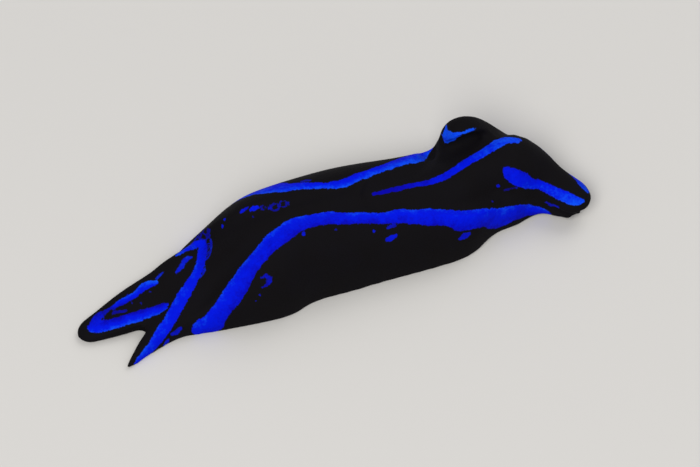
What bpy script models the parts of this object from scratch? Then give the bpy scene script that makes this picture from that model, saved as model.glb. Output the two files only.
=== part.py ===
"""Blue velvet headshield slug, Chelidonura varians, life size, crawling with its head turned right.

The animal lies along X with its head at +X and its sole on Z = 0. Sizes are in millimetres until
a mesh is made. A place on the body is its distance s along the midline, a sideways distance that
grows to the animal's left, and a height.
"""
import math

import bmesh
import bpy
from mathutils import Matrix, Vector

MM = 0.001
GAP = 0.3  # left between pieces that touch in life

# Midline: straight over the tail, turning slowly right along the back and sharply at the neck
MIDLINE_START = -27.0
MIDLINE_STEP = 0.25
MIDLINE_SIDE = 0.85
BACK_TURN_START = -9.0
BACK_TURN_END = 10.0
BACK_TURN = math.radians(6.2)
NECK_TURN_START = 16.0
NECK_TURN_END = 23.0
NECK_TURN = math.radians(54.0)

# Whole body with its parapodia: half width, sway of its middle to the left, and height, as (s, size)
BODY_HALF_WIDTH = ((-18.0, 3.0), (-14.5, 4.0), (-11.0, 4.9), (-6.0, 5.95), (-3.5, 5.75), (2.0, 5.85),
                   (9.0, 5.55), (12.5, 5.35), (15.0, 4.6), (18.5, 3.95), (20.2, 3.25), (21.5, 2.65),
                   (23.0, 2.35), (26.0, 2.2))
BODY_SWAY = ((-17.0, 0.0), (-14.5, -0.2), (-11.0, -0.2), (-6.0, 0.0), (-3.5, 0.25), (0.0, 0.1), (3.0, 0.0),
             (9.5, -0.45), (12.5, -0.25), (15.0, 0.33), (18.0, 0.12), (20.0, -0.1), (21.5, -0.15), (24.0, 0.0))
BODY_HEIGHT = ((-18.0, 1.9), (-14.5, 2.6), (-11.0, 4.2), (-7.0, 6.65), (-2.0, 6.9), (4.0, 6.3),
               (10.0, 5.8), (15.0, 6.3), (17.2, 6.55), (19.0, 5.7), (21.5, 3.5), (23.0, 3.15), (26.0, 2.5))
BODY_SQUARENESS = 2.4

# Parapodia: walls that rise from the sole's edges and end in a free margin on the back.
# The margin's place is an angle round the body, from 0 at the floor to 90 on top, as (s, degrees)
WALL_BASE = 0.95
WALL_EDGE = 0.55
WALL_END = 0.6  # share of its thickness that a wall keeps at a free end
WALL_END_LENGTH = 2.0
WALL_NOSE = 0.18
WALL_FRONT = 21.4
MARGIN_RIGHT = ((-15.6, 45.0), (-14.5, 47.0), (-13.2, 52.0), (-11.5, 60.0), (-9.0, 70.0), (-5.0, 77.0),
                (0.0, 78.0), (4.0, 76.0), (8.0, 67.0), (11.0, 54.0), (14.0, 36.0), (17.0, 23.0),
                (19.3, 13.0), (21.4, 5.0))
MARGIN_LEFT = ((-13.2, 5.0), (-12.2, 17.0), (-11.0, 33.0), (-9.5, 50.0), (-7.5, 64.0), (-2.0, 70.0),
               (5.0, 69.0), (8.5, 64.0), (10.1, 48.0), (11.2, 22.0), (12.0, 28.0), (13.0, 41.0),
               (15.6, 38.0), (17.5, 20.0), (19.3, 9.0), (21.4, 4.0))
THIN_ENDS_RIGHT = (21.4,)
THIN_ENDS_LEFT = (-13.2, 21.4)

# Left front lobe: the left margin beside the headshield stands up and curls inward
LOBE_LENGTH = ((11.9, 0.0), (12.3, 1.4), (12.9, 4.9), (14.1, 5.9), (16.0, 4.7), (17.4, 2.9),
               (18.4, 1.2), (19.3, 0.0))
LOBE_SHORTEST = 0.05
LOBE_LEAN = math.radians(-28.0)
LOBE_LEAN_LENGTH = 0.25  # share of its length in which the lobe takes up its lean
LOBE_CURL = math.radians(150.0)
LOBE_STRAIGHT = 0.35

# Shields: the back between the parapodia, with a low crown along the middle
CROWN_HEIGHT = 0.45
CROWN_SPREAD = 1.7
SHIELD_STEP = 0.25
ROOM = 0.05  # added to the gap under a curved wall
COVER_FADE = ((-15.6, 9.0), (-12.0, 12.0), (17.0, 12.0), (19.5, 7.0))  # as (s, degrees)
BARE_REAR = (-15.5, 4.5)  # where the back is no longer sunk between the walls, and over what length
BARE_FRONT = (19.0, 3.5)

# Foot: flat sole between the walls
FOOT_THICKNESS = 0.9
FOOT_EDGE = 0.18
FOOT_REAR = -14.4
FOOT_FRONT = 17.3
FOOT_END_ROUND = 3.2

# Headshield: rear point on the midline, widening forward, and its lip over the head
HEADSHIELD_REAR = 3.4
HEADSHIELD_SLOPE = 1.45
HEADSHIELD_APEX = 1.6
HEADSHIELD_TIP = 25.9
HEADSHIELD_TIP_ROUND = 2.0
UNDERSIDE = ((-15.7, 0.0), (-14.7, 1.2), (-13.0, 1.2), (15.0, 1.2), (17.0, 1.3), (19.0, 2.1),
             (21.0, 2.4), (23.5, 1.95), (26.0, 1.45))
LIP_MIDDLE = 0.42

# Head under the headshield's lip, with the mouth at its front
HEAD_REAR = 17.6
HEAD_FRONT = 25.0
HEAD_ROUND = 2.2
HEAD_INSET = ((21.6, 0.15), (23.0, 0.5))
HEAD_SQUARENESS = 0.55
MOUTH_HEIGHT = 0.85
MOUTH_SLIT = (0.6, 0.16, 0.75)
MOUTH_SLIT_AHEAD = 0.2
MOUTH_LIP = (0.6, 0.32, 0.65)
MOUTH_LIP_BACK = 0.4
MOUTH_LIP_SIDE = 0.26
PAD = (0.5, 0.6, 0.5)
PAD_BACK = 0.75
PAD_SIDE = 1.05

# Posterior shield and tail lobes: plan curve of the shield's free rear edge, as (x, y)
REAR_EDGE = ((-8.6, 9.5), (-10.2, 6.2), (-11.3, 4.3), (-12.6, 2.8), (-14.6, 1.5), (-16.3, 0.4),
             (-18.5, -1.1), (-20.2, -2.4), (-23.0, -4.6))
SHIELD_REAR = -15.6
RIGHT_LOBE_FROM = -13.0
RIGHT_LOBE_BY = -16.5
RIGHT_LOBE_SIDE = ((-21.9, -4.75), (-20.1, -3.7), (-18.5, -2.95), (-16.3, -2.1), (-14.0, -1.8))
RIGHT_LOBE_HALF_WIDTH = ((-21.9, 0.35), (-20.1, 0.85), (-18.5, 1.25), (-16.3, 1.8), (-14.0, 2.4))
RIGHT_LOBE_HEIGHT = ((-21.9, 0.6), (-20.1, 1.1), (-18.5, 1.5), (-16.3, 2.1), (-14.0, 2.9))
RIGHT_LOBE_TIP = -21.9
LEFT_LOBE_MIDLINE = ((-24.4, 0.9), (-22.0, 1.0), (-19.4, 1.2), (-16.0, 1.3), (-12.0, 1.7), (-9.0, 1.9))
LEFT_LOBE_HALF_WIDTH = ((-24.5, 0.9), (-22.0, 1.5), (-19.4, 2.05), (-16.0, 2.5), (-12.0, 2.5), (-9.0, 2.9))
LEFT_LOBE_HEIGHT = ((-24.5, 0.75), (-22.0, 1.1), (-19.4, 1.5), (-16.0, 2.2), (-13.0, 3.3), (-9.0, 4.6))
LEFT_LOBE_TIP = -24.5
LEFT_LOBE_ROOT = -9.5
LEFT_LOBE_SQUARENESS = 0.8
LEFT_LOBE_FLATNESS = 1.6
LOBE_TIP_ROUND = 1.1

# Fineness of the solids
SHIELD_POINTS = 38
WALL_POINTS = 13
LOBE_POINTS = 19
PATH_POINTS = 24
RING_POINTS = 24
FOOT_STATIONS = 36
STATION = 0.8
SHIELD_STATION = 0.6
WALL_STATION = 0.75
LOBE_STATION = 0.42
ROUND_STATIONS = 8
ROUND_END = math.radians(86.0)

# Plan of the upright cutters, outside the animal
FAR = 60.0
CUTTER_BOTTOM = -5.0
CUTTER_HEIGHT = 20.0
CUT_CURVE_REACH = 8.0


def smooth(value):
    """Ease from 0 to 1."""
    value = min(max(value, 0.0), 1.0)
    return value * value * (3.0 - 2.0 * value)


def along(table, place):
    """Smooth size at a place, through a table of (place, size) and level past both ends."""
    if place <= table[0][0]:
        return table[0][1]
    if place >= table[-1][0]:
        return table[-1][1]
    last = len(table) - 1
    i = max(k for k in range(last) if table[k][0] <= place)
    (s0, v0), (s1, v1) = table[i], table[i + 1]
    before, after = table[max(i - 1, 0)], table[min(i + 2, last)]
    slope0 = (v1 - before[1]) / (s1 - before[0])
    slope1 = (after[1] - v0) / (after[0] - s0)
    span = s1 - s0
    t = (place - s0) / span
    return (v0 * (1 + 2 * t) * (1 - t) ** 2 + slope0 * span * t * (1 - t) ** 2
            + v1 * t * t * (3 - 2 * t) + slope1 * span * t * t * (t - 1))


def heading(s):
    """Direction of the midline, from +X, negative to the animal's right."""
    back = smooth((s - BACK_TURN_START) / (BACK_TURN_END - BACK_TURN_START))
    neck = smooth((s - NECK_TURN_START) / (NECK_TURN_END - NECK_TURN_START))
    return -BACK_TURN * back - NECK_TURN * neck


def trace_midline():
    """Points along the midline, one for each step of s."""
    points = [Vector((MIDLINE_START, MIDLINE_SIDE, 0.0))]
    s = MIDLINE_START
    while s < HEADSHIELD_TIP + 1.0:
        turn = heading(s + MIDLINE_STEP / 2)
        points.append(points[-1] + MIDLINE_STEP * Vector((math.cos(turn), math.sin(turn), 0.0)))
        s += MIDLINE_STEP
    return points


MIDLINE = trace_midline()


def on_body(s, side, height):
    """World point of a place on the body."""
    steps = (s - MIDLINE_START) / MIDLINE_STEP
    i = min(int(steps), len(MIDLINE) - 2)
    base = MIDLINE[i].lerp(MIDLINE[i + 1], steps - i)
    turn = heading(s)
    return base + side * Vector((-math.sin(turn), math.cos(turn), 0.0)) + Vector((0.0, 0.0, height))


def arch(half_width, height, angle):
    """Sideways distance and height on a squared arch, angle 0 at its right foot and pi at its left."""
    power = 2.0 / BODY_SQUARENESS
    side = -math.copysign(abs(math.cos(angle)) ** power, math.cos(angle))
    return half_width * side, height * max(math.sin(angle), 0.0) ** power


def stations(start, end, step=STATION):
    """Evenly spaced places from start to end."""
    count = max(int(round((end - start) / step)), 2)
    return [start + (end - start) * k / count for k in range(count + 1)]


def rounded_stations(start, end, round_length):
    """Places from start to end, closing up towards the rounded end, with the round's scale."""
    places = [(s, 1.0) for s in stations(start, end - round_length)]
    for k in range(1, ROUND_STATIONS + 1):
        turn = ROUND_END * k / ROUND_STATIONS
        places.append((end - round_length + round_length * math.sin(turn), math.cos(turn)))
    return places


def body_outline(s):
    """Sideways centre, half width and height of the whole body, running into the right tail lobe."""
    tail = smooth((RIGHT_LOBE_FROM - s) / (RIGHT_LOBE_FROM - RIGHT_LOBE_BY))
    half_width, height = along(BODY_HALF_WIDTH, s), along(BODY_HEIGHT, s)
    half_width += tail * (along(RIGHT_LOBE_HALF_WIDTH, s) - half_width)
    height += tail * (along(RIGHT_LOBE_HEIGHT, s) - height)
    return along(BODY_SWAY, s) + tail * along(RIGHT_LOBE_SIDE, s), half_width, height


def thickness_share(s, thin_ends):
    """Share of its full thickness that a parapodium has here, less towards its thin ends."""
    from_end = min(abs(s - end) for end in thin_ends)
    return WALL_END + (1.0 - WALL_END) * smooth(from_end / WALL_END_LENGTH)


def cover(s, angle):
    """How far the body is drawn in here to leave room for the parapodia, 0 to 1."""
    front, front_length = BARE_FRONT
    rear, rear_length = BARE_REAR
    most = smooth((front - s) / front_length) * smooth((s - rear) / rear_length)
    edge = (WALL_NOSE + GAP) / min(body_outline(s)[1:])
    fade = math.radians(along(COVER_FADE, s))
    for margin, rise in ((MARGIN_RIGHT, angle), (MARGIN_LEFT, math.pi - angle)):
        if margin[0][0] - GAP / 2 < s < WALL_FRONT + STATION:
            reach = math.radians(along(margin, s)) + edge + fade
            most = max(most, smooth((reach - rise) / fade))
    return most


def shield_section(s, raise_by):
    """Section of the back between the parapodia, flat underneath, from right to left."""
    centre, half_width, height = body_outline(s)
    underside = along(UNDERSIDE, s)
    share = thickness_share(s, THIN_ENDS_RIGHT)
    start = math.asin(min((underside / height) ** (BODY_SQUARENESS / 2), 0.95))
    section = []
    for k in range(SHIELD_POINTS + 1):
        angle = start + (math.pi - 2 * start) * k / SHIELD_POINTS
        sunk = cover(s, angle)
        side, z = arch(half_width - sunk * (WALL_BASE * share + GAP + ROOM),
                       height - sunk * (WALL_EDGE * share + GAP + ROOM), angle)
        crown = sunk * CROWN_HEIGHT * math.exp(-(side / CROWN_SPREAD) ** 2)
        section.append((centre + side, max(z, underside) + crown + raise_by * math.sin(angle) ** 2))
    return section


def shrink(section, scale, centre_height):
    """A section drawn in towards its middle, at a height."""
    sides = [side for side, _ in section]
    centre = (min(sides) + max(sides)) / 2
    return [(centre + (side - centre) * scale, centre_height + (z - centre_height) * scale)
            for side, z in section]


def wall_path(s, mirror, margin, lobe_length):
    """Outer line of a parapodium's section, from the floor to its free margin, outward positive."""
    centre, half_width, height = body_outline(s)
    top = math.radians(along(margin, s))
    line = []
    for k in range(PATH_POINTS + 1):
        side, z = arch(half_width, height, top * k / PATH_POINTS)
        line.append(Vector((-side + mirror * centre, z)))
    if lobe_length > LOBE_SHORTEST:
        run = line[-1] - line[-2]
        lean = math.atan2(-run.x, run.y)
        step = lobe_length / PATH_POINTS
        for k in range(1, PATH_POINTS + 1):
            t = k / PATH_POINTS
            bend = lean + (LOBE_LEAN - lean) * smooth(t / LOBE_LEAN_LENGTH)
            bend += LOBE_CURL * max(t - LOBE_STRAIGHT, 0.0) / (1.0 - LOBE_STRAIGHT)
            line.append(line[-1] + step * Vector((-math.sin(bend), math.cos(bend))))
    return line


def spaced(line, count):
    """The line again, as count + 1 points at even distances along it."""
    lengths = [0.0]
    for a, b in zip(line, line[1:]):
        lengths.append(lengths[-1] + (b - a).length)
    points = []
    for k in range(count + 1):
        want = lengths[-1] * k / count
        i = max(j for j in range(len(line) - 1) if lengths[j] <= want + 1e-9)
        points.append(line[i].lerp(line[i + 1], (want - lengths[i]) / (lengths[i + 1] - lengths[i])))
    return points


def wall_section(s, mirror, margin, thin_ends, lobe_length, count):
    """Closed section of a parapodium: outer face up, round the margin, inner face down."""
    outer = spaced(wall_path(s, mirror, margin, lobe_length), count)
    height = body_outline(s)[2]
    share = thickness_share(s, thin_ends)
    inner = []
    for k, point in enumerate(outer):
        run = (outer[min(k + 1, count)] - outer[max(k - 1, 0)]).normalized()
        if k == 0:
            run = Vector((0.0, 1.0))
        wall = WALL_BASE + (WALL_EDGE - WALL_BASE) * min(point.y / height, 1.0)
        inner.append(point + share * wall * Vector((-run.y, run.x)))
    nose = (outer[-1] + inner[-1]) / 2 + (outer[-1] - outer[-2]).normalized() * WALL_NOSE
    return outer + [nose] + inner[::-1]


def material(name, colour, roughness):
    """Plain Principled material."""
    mat = bpy.data.materials.new(name)
    mat.use_nodes = True
    shader = mat.node_tree.nodes["Principled BSDF"]
    shader.inputs["Base Color"].default_value = (*colour, 1.0)
    shader.inputs["Roughness"].default_value = roughness
    shader.inputs["Metallic"].default_value = 0.0
    return mat


def add_object(name, mesh_data, mat, collection):
    """Smooth-shaded object from a bmesh whose sizes are in millimetres."""
    bmesh.ops.scale(mesh_data, vec=(MM, MM, MM), verts=mesh_data.verts)
    bmesh.ops.recalc_face_normals(mesh_data, faces=mesh_data.faces)
    if mesh_data.calc_volume(signed=True) < 0.0:
        bmesh.ops.reverse_faces(mesh_data, faces=mesh_data.faces)
    mesh = bpy.data.meshes.new(name)
    mesh_data.to_mesh(mesh)
    mesh_data.free()
    mesh.shade_smooth()
    obj = bpy.data.objects.new(name, mesh)
    collection.objects.link(obj)
    if mat:
        mesh.materials.append(mat)
    return obj


def loft(rings):
    """Closed skin over rings of equal count, with a flat cap at each end."""
    bm = bmesh.new()
    rows = [[bm.verts.new(point) for point in ring] for ring in rings]
    count = len(rows[0])
    for row, following in zip(rows, rows[1:]):
        for k in range(count):
            after = (k + 1) % count
            bm.faces.new((row[k], row[after], following[after], following[k]))
    for cap in (rows[0], rows[-1]):
        bm.faces.new(cap)
    bmesh.ops.triangulate(bm, faces=bm.faces)
    return bm


def prism(name, outline, collection):
    """Upright cutter over a plan outline, taller than the body."""
    bm = bmesh.new()
    face = bm.faces.new([bm.verts.new((x, y, CUTTER_BOTTOM)) for x, y in outline])
    grown = bmesh.ops.extrude_face_region(bm, geom=[face])["geom"]
    tops = [item for item in grown if isinstance(item, bmesh.types.BMVert)]
    bmesh.ops.translate(bm, vec=(0.0, 0.0, CUTTER_HEIGHT), verts=tops)
    cutter = add_object(name, bm, None, collection)
    cutter.hide_render = True
    cutter.display_type = "WIRE"
    return cutter


def ellipsoid(name, centre, sizes, turn, collection):
    """Ellipsoid of half sizes (along, across, up), turned about Z."""
    bm = bmesh.new()
    bmesh.ops.create_uvsphere(bm, u_segments=14, v_segments=8, radius=1.0)
    bmesh.ops.scale(bm, vec=sizes, verts=bm.verts)
    rotation = Vector((math.cos(turn), math.sin(turn), 0.0)).to_track_quat("X", "Z").to_matrix()
    bmesh.ops.rotate(bm, cent=(0.0, 0.0, 0.0), matrix=rotation, verts=bm.verts)
    bmesh.ops.translate(bm, vec=centre, verts=bm.verts)
    return add_object(name, bm, None, collection)


def keep_largest(obj):
    """Drop everything but the object's largest closed surface."""
    bm = bmesh.new()
    bm.from_mesh(obj.data)
    groups = []
    waiting = set(bm.verts)
    while waiting:
        group = set()
        front = [waiting.pop()]
        while front:
            vert = front.pop()
            group.add(vert)
            for edge in vert.link_edges:
                other = edge.other_vert(vert)
                if other in waiting:
                    waiting.discard(other)
                    front.append(other)
        groups.append(group)
    groups.sort(key=len)
    for group in groups[:-1]:
        bmesh.ops.delete(bm, geom=list(group), context="VERTS")
    bm.to_mesh(obj.data)
    bm.free()


def cut(obj, cutter, operation="DIFFERENCE", solver="EXACT"):
    """Boolean with one cutter, applied."""
    boolean = obj.modifiers.new("cut", "BOOLEAN")
    boolean.solver = solver
    boolean.operation = operation
    boolean.object = cutter
    bpy.context.view_layer.update()
    graph = bpy.context.evaluated_depsgraph_get()
    mesh = bpy.data.meshes.new_from_object(obj.evaluated_get(graph))
    obj.modifiers.clear()
    old = obj.data
    obj.data = mesh
    bpy.data.meshes.remove(old)
    keep_largest(obj)


def plan_sides(curve, far_one, far_other):
    """Two plan outlines that share a curve, each reaching half the gap past it."""
    one, other = [], []
    for k, point in enumerate(curve):
        run = (curve[min(k + 1, len(curve) - 1)] - curve[max(k - 1, 0)]).normalized()
        normal = Vector((-run.y, run.x))
        one.append(point - normal * GAP / 2)
        other.append(point + normal * GAP / 2)
    return one + far_one, other + far_other


def headshield_rear_curve():
    """Plan curve of the headshield's rear edge, from its right to its left, round at the midline."""
    curve = []
    for side in stations(-CUT_CURVE_REACH, CUT_CURVE_REACH):
        back = HEADSHIELD_SLOPE * (math.hypot(side, HEADSHIELD_APEX) - HEADSHIELD_APEX)
        curve.append(on_body(HEADSHIELD_REAR + back, side, 0.0).xy)
    return curve


def rear_edge_curve():
    """Plan curve of the posterior shield's rear edge, from its left to the right tail lobe's tip."""
    by_x = sorted(REAR_EDGE)
    return [Vector((x, along(by_x, x))) for x in stations(by_x[0][0], by_x[-1][0])][::-1]


def shield_loft(name, places, raise_by, mat, collection):
    """Solid of the back over the given places, down to the foot, the head or the floor."""
    rings = []
    for s, scale in places:
        section = shield_section(s, raise_by * scale)
        low = along(UNDERSIDE, s)
        middle = low + LIP_MIDDLE * (max(z for _, z in section) - low)
        rings.append([on_body(s, side, z) for side, z in shrink(section, scale, middle)])
    return add_object(name, loft(rings), mat, collection)


def headshield(parts, behind):
    """Headshield and the body below it, forward of its rear edge."""
    places = rounded_stations(HEADSHIELD_REAR - STATION, HEADSHIELD_TIP, HEADSHIELD_TIP_ROUND)
    mat = material("headshield velvet", (0.010, 0.009, 0.012), 0.8)
    obj = shield_loft("headshield", places, SHIELD_STEP, mat, parts)
    cut(obj, behind, solver="MANIFOLD")


def posterior_shield(parts, ahead, left_rear):
    """Posterior shield and the body below it, with its free rear edge."""
    front = HEADSHIELD_REAR + HEADSHIELD_SLOPE * CUT_CURVE_REACH
    places = [(s, 1.0) for s in stations(SHIELD_REAR, front, SHIELD_STATION)]
    mat = material("posterior shield velvet", (0.012, 0.010, 0.014), 0.8)
    obj = shield_loft("posterior_shield", places, 0.0, mat, parts)
    cut(obj, ahead, solver="MANIFOLD")
    cut(obj, left_rear, solver="MANIFOLD")


def parapodium(name, mirror, margin, thin_ends, lobe, parts):
    """One parapodium as a single wall, standing on the floor beside the foot."""
    places = stations(margin[0][0], WALL_FRONT, WALL_STATION)
    if lobe:
        lobe_start = LOBE_LENGTH[0][0]
        places = stations(margin[0][0], lobe_start)[:-1] + stations(lobe_start, WALL_FRONT, LOBE_STATION)
    rings = []
    for s in places:
        if lobe:
            section = wall_section(s, mirror, margin, thin_ends, along(LOBE_LENGTH, s), LOBE_POINTS)
        else:
            section = wall_section(s, mirror, margin, thin_ends, 0.0, WALL_POINTS)
        rings.append([on_body(s, mirror * point.x, max(point.y, 0.0)) for point in section])
    add_object(name, loft(rings), material(name + " velvet", (0.009, 0.008, 0.011), 0.8), parts)


def foot(parts):
    """Flat sole between the parapodia, rounded at both ends."""
    middle = (FOOT_REAR + FOOT_FRONT) / 2
    half = (FOOT_FRONT - FOOT_REAR) / 2 - ROOM / 2
    top = FOOT_THICKNESS
    rings = []
    for k in range(FOOT_STATIONS + 1):
        s = middle - half * math.cos(math.pi * k / FOOT_STATIONS)
        from_end = min(s - FOOT_REAR, FOOT_FRONT - s)
        rounding = math.sqrt(1.0 - (1.0 - min(from_end / FOOT_END_ROUND, 1.0)) ** 2)
        reach = (along(BODY_HALF_WIDTH, s) - WALL_BASE - GAP - ROOM) * rounding
        inner = max(reach - FOOT_EDGE, reach / 2)
        section = ((-inner, 0.0), (inner, 0.0), (reach, FOOT_EDGE), (reach, top - FOOT_EDGE),
                   (inner, top), (-inner, top), (-reach, top - FOOT_EDGE), (-reach, FOOT_EDGE))
        sway = along(BODY_SWAY, s)
        rings.append([on_body(s, sway + side, z) for side, z in section])
    add_object("foot", loft(rings), material("foot skin", (0.016, 0.014, 0.018), 0.75), parts)


def squared_ring(squareness):
    """Points round a unit circle pressed out towards a square as squareness falls below 1."""
    ring = []
    for k in range(RING_POINTS):
        turn = 2 * math.pi * k / RING_POINTS
        side, z = math.cos(turn), math.sin(turn)
        ring.append((math.copysign(abs(side) ** squareness, side), math.copysign(abs(z) ** squareness, z)))
    return ring


def head(parts, cutters):
    """Head under the headshield's lip, with mouth, lips and sensory pads at its front."""
    past_walls = WALL_FRONT + GAP + ROOM
    places = [(s, 1.0) for s in stations(HEAD_REAR, past_walls - ROOM)]
    places += rounded_stations(past_walls, HEAD_FRONT, HEAD_ROUND)
    rings = []
    for s, scale in places:
        middle = (along(UNDERSIDE, s) - GAP) / 2
        centre, half_width, height = body_outline(s)
        section = []
        for side, z in squared_ring(HEAD_SQUARENESS):
            inset = along(HEAD_INSET, s)
            if s < past_walls:
                angle = math.asin((middle * (1.0 + z) / height) ** (BODY_SQUARENESS / 2))
                sunk = cover(s, angle if side < 0.0 else math.pi - angle)
                inset += sunk * (WALL_BASE * thickness_share(s, THIN_ENDS_RIGHT) + GAP)
            section.append((centre + (half_width - inset) * side, middle * (1.0 + z)))
        rings.append([on_body(s, side, z) for side, z in shrink(section, scale, middle)])
    obj = add_object("head", loft(rings), material("head skin", (0.016, 0.014, 0.018), 0.7), parts)
    turn = heading(HEAD_FRONT)
    for side in (-1, 1):
        place = on_body(HEAD_FRONT - MOUTH_LIP_BACK, side * MOUTH_LIP_SIDE, MOUTH_HEIGHT)
        cut(obj, ellipsoid("lip", place, MOUTH_LIP, turn, cutters), "UNION")
        place = on_body(HEAD_FRONT - PAD_BACK, side * PAD_SIDE, MOUTH_HEIGHT)
        cut(obj, ellipsoid("pad", place, PAD, turn, cutters), "UNION")
    place = on_body(HEAD_FRONT + MOUTH_SLIT_AHEAD, 0.0, MOUTH_HEIGHT)
    cut(obj, ellipsoid("mouth slit", place, MOUTH_SLIT, turn, cutters))


def tail_lobe_left(parts, ahead):
    """Left tail lobe lying on the floor, from its root below the shield to a rounded tip."""
    rings = []
    for place, scale in rounded_stations(-LEFT_LOBE_ROOT, -LEFT_LOBE_TIP, LOBE_TIP_ROUND):
        x = -place
        reach, rise, low = along(LEFT_LOBE_HALF_WIDTH, x), along(LEFT_LOBE_HEIGHT, x), along(UNDERSIDE, x)
        section = []
        for side, z in squared_ring(LEFT_LOBE_SQUARENESS):
            lift = z if z > 0.0 else max(LEFT_LOBE_FLATNESS * z, -1.0)
            section.append((reach * side, low + (1.0 + lift) * (rise - low) / 2))
        centre = Vector((x, along(LEFT_LOBE_MIDLINE, x), 0.0))
        rings.append([centre + Vector((0.0, side, z)) for side, z in shrink(section, scale, rise / 2)])
    mat = material("left tail lobe velvet", (0.011, 0.010, 0.013), 0.8)
    obj = add_object("tail_lobe_left", loft(rings), mat, parts)
    cut(obj, ahead, solver="MANIFOLD")


def tail_lobe_right(parts, left_rear):
    """Right tail lobe, which carries the posterior shield on to a pointed tip."""
    places = rounded_stations(-SHIELD_REAR + GAP, -RIGHT_LOBE_TIP, LOBE_TIP_ROUND)
    places = [(-place, scale) for place, scale in places]
    mat = material("right tail lobe velvet", (0.011, 0.010, 0.013), 0.8)
    obj = shield_loft("tail_lobe_right", places, 0.0, mat, parts)
    cut(obj, left_rear, solver="MANIFOLD")


def centre(parts):
    """Move every node so that the animal's box stands on the origin by the middle of its base."""
    corners = [vert.co for obj in parts.objects for vert in obj.data.vertices]
    low = [min(corner[axis] for corner in corners) for axis in range(3)]
    high = [max(corner[axis] for corner in corners) for axis in range(3)]
    shift = Vector((-(low[0] + high[0]) / 2, -(low[1] + high[1]) / 2, -low[2]))
    for obj in parts.objects:
        obj.data.transform(Matrix.Translation(shift))


def build():
    """Make every node of the animal."""
    for obj in list(bpy.data.objects):
        bpy.data.objects.remove(obj, do_unlink=True)
    parts = bpy.data.collections.new("blue velvet headshield slug")
    cutters = bpy.data.collections.new("cutters")
    for collection in (parts, cutters):
        bpy.context.scene.collection.children.link(collection)

    left_back, right_back = Vector((-FAR, FAR)), Vector((-FAR, -FAR))
    left_front, right_front = Vector((FAR, FAR)), Vector((FAR, -FAR))
    behind, ahead = plan_sides(headshield_rear_curve(), [left_back, right_back], [left_front, right_front])
    shield_edge, lobe_edge = plan_sides(rear_edge_curve(), [right_back, right_front, left_front],
                                        [left_back])
    headshield(parts, prism("behind headshield", behind, cutters))
    left_rear = prism("behind rear edge", lobe_edge, cutters)
    posterior_shield(parts, prism("ahead of posterior shield", ahead, cutters), left_rear)
    foot(parts)
    head(parts, cutters)
    parapodium("parapodium_right", -1, MARGIN_RIGHT, THIN_ENDS_RIGHT, False, parts)
    parapodium("parapodium_left", 1, MARGIN_LEFT, THIN_ENDS_LEFT, True, parts)
    tail_lobe_left(parts, prism("ahead of rear edge", shield_edge, cutters))
    tail_lobe_right(parts, left_rear)
    centre(parts)
    for obj in list(cutters.objects):
        bpy.data.objects.remove(obj, do_unlink=True)


build()
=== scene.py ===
"""Looks of the blue velvet headshield slug: one velvet skin over its solids, with its blue lines."""

import math

import bmesh
import bpy
import numpy as np
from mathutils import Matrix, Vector
from mathutils.bvhtree import BVHTree


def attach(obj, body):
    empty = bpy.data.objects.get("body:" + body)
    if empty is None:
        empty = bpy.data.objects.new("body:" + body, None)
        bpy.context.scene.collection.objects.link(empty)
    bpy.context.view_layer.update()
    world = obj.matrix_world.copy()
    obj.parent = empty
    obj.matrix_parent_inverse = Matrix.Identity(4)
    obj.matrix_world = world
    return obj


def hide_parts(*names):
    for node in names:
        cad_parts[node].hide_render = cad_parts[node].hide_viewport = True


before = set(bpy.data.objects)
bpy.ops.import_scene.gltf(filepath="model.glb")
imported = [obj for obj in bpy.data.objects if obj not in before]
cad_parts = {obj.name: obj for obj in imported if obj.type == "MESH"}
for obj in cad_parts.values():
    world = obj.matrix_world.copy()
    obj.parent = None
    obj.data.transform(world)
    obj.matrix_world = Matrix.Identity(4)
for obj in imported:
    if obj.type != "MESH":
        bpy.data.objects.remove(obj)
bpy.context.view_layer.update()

MM = 0.001  # sizes and places below are in millimetres unless their line says otherwise
MERGE_DISTANCE = 1e-7  # metres
SHORTEST_RUN = 1e-6

# Skin: fineness, and how far it is swollen and drawn back in to close the seams between solids
SKIN_VOXEL = 0.16
STEP_SMOOTHING = 2
SEAM_CLOSE = 0.38
SKIN_SMOOTHING = 6
SMOOTHING_SHARE = 0.5  # of the way to its neighbours' middle that a vertex moves in one round
SEAM_NEAR = 0.7  # a seam is where a second solid is this near
SEAM_FAR = 1.5
SEAM_SMOOTHING = 40
HOLLOWS = (  # x, y, z, reach: places where the skin bridges the hollows between the solids
    (14.8, 2.0, 6.2, 3.0), (13.0, 2.8, 5.2, 1.8), (16.4, 1.4, 6.4, 1.8))
HOLLOW_STRENGTH = 2.5
HOLLOW_FILLING = 240
NORMALS_EVERY = 8  # rounds of filling between two looks at which way the skin faces

# Small shifts of the skin: place, reach and shift
SHIFTS = (
    ((-19.1, -1.4, 0.6), 1.1, (0.7, 0.4, 0.0)),  # between the tail lobes
    ((12.5, 3.3, 5.7), 1.1, (0.45, 0.0, -0.1)),  # the raised lobe's rear edge at its foot
    ((13.1, 3.3, 6.6), 0.8, (-0.2, 0.0, 0.0)),  # and above it
    ((11.4, 3.6, 5.1), 1.3, (0.0, 0.0, 0.25)))  # the wall behind the raised lobe

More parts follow.
